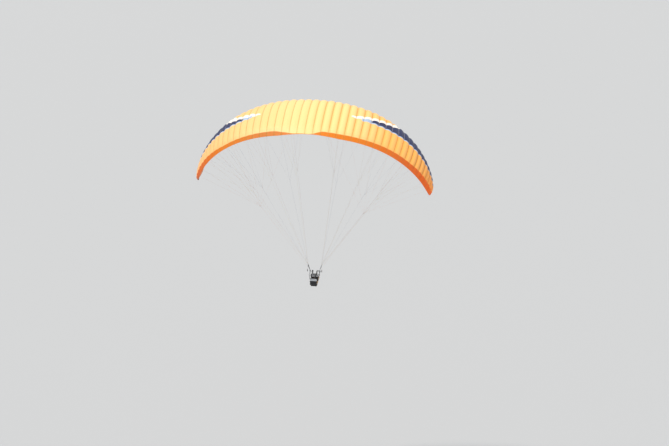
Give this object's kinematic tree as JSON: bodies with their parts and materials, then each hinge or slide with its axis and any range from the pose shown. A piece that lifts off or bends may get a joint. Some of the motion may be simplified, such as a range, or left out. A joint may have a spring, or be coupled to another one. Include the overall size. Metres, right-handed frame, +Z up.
{
  "type": "tandem paraglider",
  "caption": "Two-seat paraglider with its ram-air canopy open overhead, stays, risers, spreader bars, brakes and two harnesses.",
  "frame": {"origin": "lift point on the chord line in the middle of the canopy, where the air holds it up", "axes": "+X to the pilot's right along the span, +Y the way it flies, +Z up"},
  "size_m": [11.5786, 3.024, 9.9551],
  "materials": {
    "canopy_fabric": "coated ripstop nylon",
    "sheathed_line": "braided sheath",
    "riser_webbing": "woven polyester webbing",
    "harness_webbing": "woven polyester webbing",
    "handle_webbing": "padded webbing",
    "harness_fabric": "coated nylon cloth",
    "forged_alloy": "anodised",
    "anodised_plate": "dark anodised",
    "moulded_plastic": "moulded",
    "plywood": "varnished"
  },
  "bodies": {
    "wing": {"canopy_section_1": "canopy_fabric", "canopy_section_2": "canopy_fabric", "canopy_section_3": "canopy_fabric", "canopy_section_4": "canopy_fabric", "canopy_section_5": "canopy_fabric", "canopy_section_6": "canopy_fabric", "canopy_section_7": "canopy_fabric", "canopy_section_8": "canopy_fabric", "canopy_section_9": "canopy_fabric", "stay_a1_left": "sheathed_line", "stay_a2_left": "sheathed_line", "stay_a3_left": "sheathed_line", "stay_b1_left": "sheathed_line", "stay_b2_left": "sheathed_line", "stay_b3_left": "sheathed_line", "stay_c1_left": "sheathed_line", "stay_c2_left": "sheathed_line", "stay_a1_right": "sheathed_line", "stay_a2_right": "sheathed_line", "stay_a3_right": "sheathed_line", "stay_b1_right": "sheathed_line", "stay_b2_right": "sheathed_line", "stay_b3_right": "sheathed_line", "stay_c1_right": "sheathed_line", "stay_c2_right": "sheathed_line", "brake_main_left": "sheathed_line", "brake_pulley_left": "moulded_plastic", "brake_line_left": "sheathed_line", "riser_set_left": "riser_webbing", "main_carabiner_left": "forged_alloy", "brake_main_right": "sheathed_line", "brake_pulley_right": "moulded_plastic", "brake_line_right": "sheathed_line", "riser_set_right": "riser_webbing", "main_carabiner_right": "forged_alloy"},
    "spreader_left": {"spreader_left": "anodised_plate"},
    "spreader_right": {"spreader_right": "anodised_plate"},
    "pilot_harness": {"pilot_seat_board": "plywood", "pilot_seat_shell": "harness_fabric", "pilot_chest_strap": "harness_webbing", "pilot_reserve_container": "harness_fabric", "pilot_carabiner_left": "forged_alloy", "pilot_webbing_left": "harness_webbing", "pilot_leg_strap_left": "harness_webbing", "pilot_carabiner_right": "forged_alloy", "pilot_webbing_right": "harness_webbing", "pilot_leg_strap_right": "harness_webbing"},
    "passenger_harness": {"passenger_seat_board": "plywood", "passenger_seat_shell": "harness_fabric", "passenger_chest_strap": "harness_webbing", "passenger_carabiner_left": "forged_alloy", "passenger_webbing_left": "harness_webbing", "passenger_leg_strap_left": "harness_webbing", "passenger_carabiner_right": "forged_alloy", "passenger_webbing_right": "harness_webbing", "passenger_leg_strap_right": "harness_webbing"},
    "brake_left": {"brake_handle_left": "handle_webbing"},
    "brake_right": {"brake_handle_right": "handle_webbing"}
  },
  "joints": [
    {"name": "spreader_left_pivot", "type": "hinge", "parent": "wing", "child": "spreader_left", "pos_m": [-0.25, 0, -8.9], "axis": [1, 0, 0], "range_deg": [-30, 30]},
    {"name": "spreader_right_pivot", "type": "hinge", "parent": "wing", "child": "spreader_right", "pos_m": [0.25, 0, -8.9], "axis": [1, 0, 0], "range_deg": [-30, 30]},
    {"name": "pilot_harness_pivot", "type": "hinge", "parent": "spreader_left", "child": "pilot_harness", "pos_m": [-0.25, -0.24, -8.93], "axis": [1, 0, 0], "range_deg": [-25, 5]},
    {"name": "passenger_harness_pivot", "type": "hinge", "parent": "spreader_left", "child": "passenger_harness", "pos_m": [-0.25, 0.24, -8.97], "axis": [1, 0, 0], "range_deg": [-5, 25]},
    {"name": "brake_left_pull", "type": "slide", "parent": "wing", "child": "brake_left", "axis": [0, 0, -1], "range_m": [-0.1, 0.45], "deforming": ["brake_line_left"]},
    {"name": "brake_right_pull", "type": "slide", "parent": "wing", "child": "brake_right", "axis": [0, 0, -1], "range_m": [-0.1, 0.45], "deforming": ["brake_line_right"]}
  ],
  "couplings": [
    {"joint": "spreader_right_pivot", "follows": "spreader_left_pivot", "ratio": 1}
  ]
}
